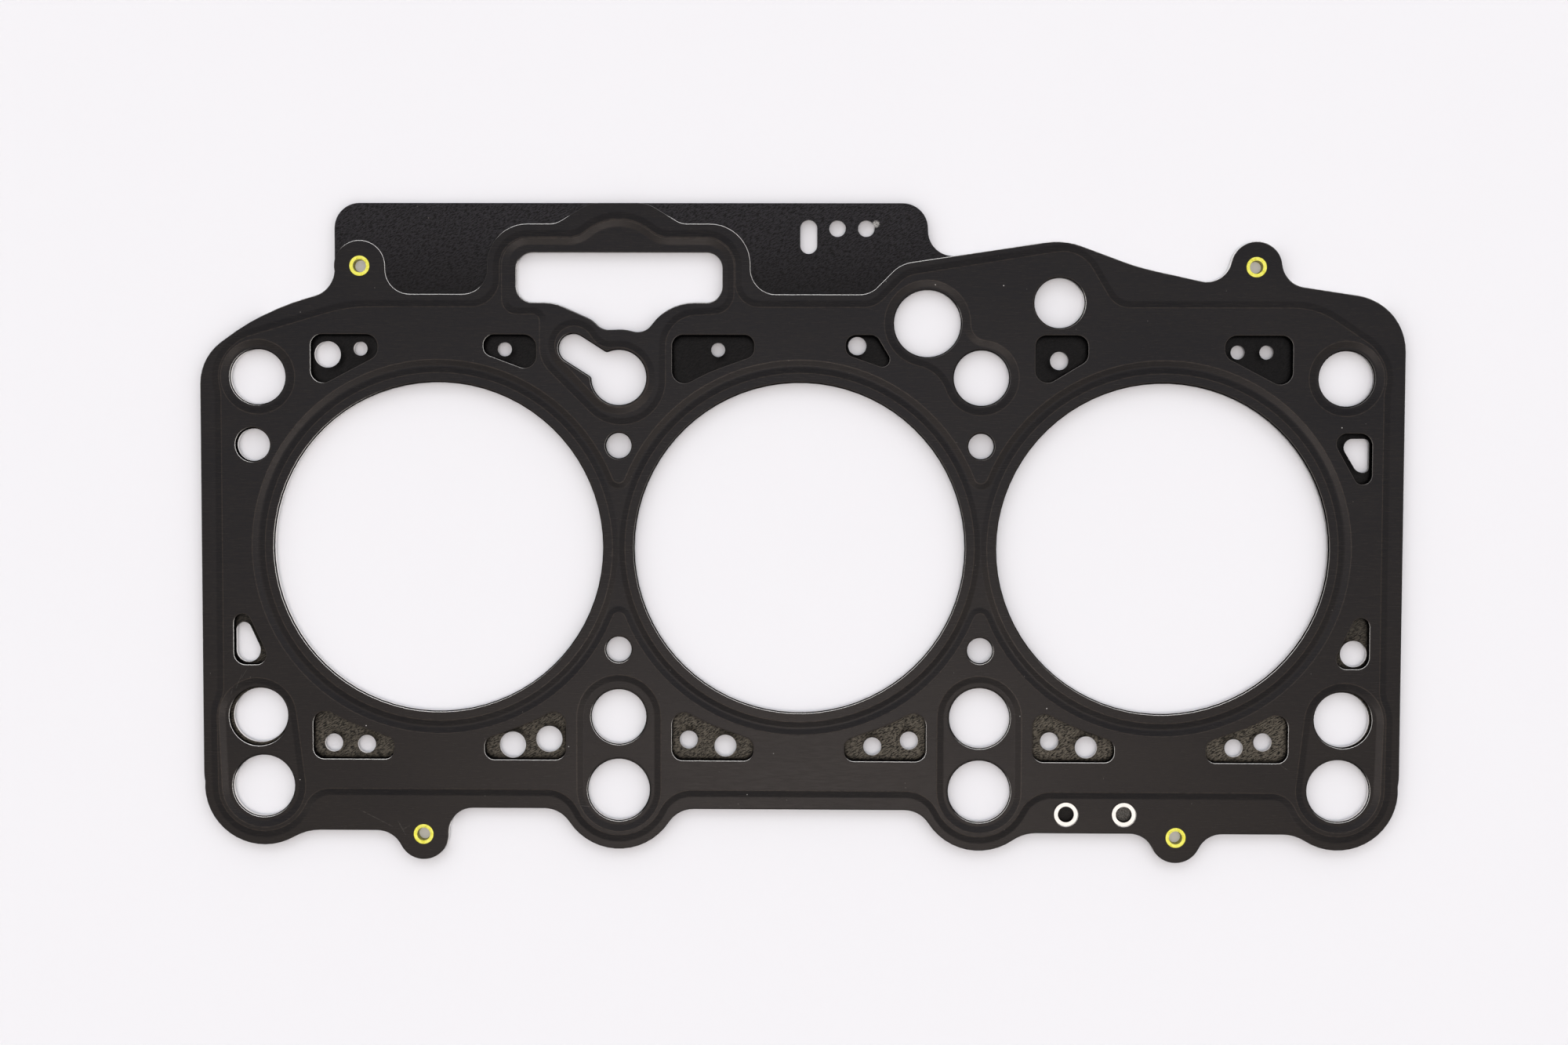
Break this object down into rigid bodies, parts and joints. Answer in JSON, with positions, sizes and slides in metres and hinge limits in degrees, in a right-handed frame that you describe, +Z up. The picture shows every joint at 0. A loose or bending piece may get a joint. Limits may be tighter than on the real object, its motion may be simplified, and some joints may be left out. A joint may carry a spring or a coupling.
{
  "type": "cylinder head gasket",
  "caption": "Layered steel gasket that seals a cylinder head to its block round the cylinders, bolts, oil and coolant passages, with a thickness tab.",
  "frame": {"origin": "on the middle cylinder's axis, in the plane of the gasket's underside", "axes": "+X along the row of cylinders, +Y towards the tab, +Z up from the block to the cylinder head"},
  "size_m": [0.2922, 0.1603, 0.002],
  "materials": {
    "sheet_coating": "satin black rubber coating on spring steel",
    "carrier_coating": "grained black coating on steel",
    "rivet_plating": "bright yellow plating",
    "bare_steel": "bright, lightly brushed"
  },
  "bodies": {
    "root": {"carrier_plate": "carrier_coating", "upper_active_layer": "sheet_coating", "lower_active_layer": "sheet_coating", "rivet_upper_left": "rivet_plating", "rivet_upper_right": "rivet_plating", "rivet_lower_left": "rivet_plating", "rivet_lower_right": "rivet_plating", "flat_ring_left": "bare_steel", "flat_ring_right": "bare_steel"}
  },
  "joints": []
}
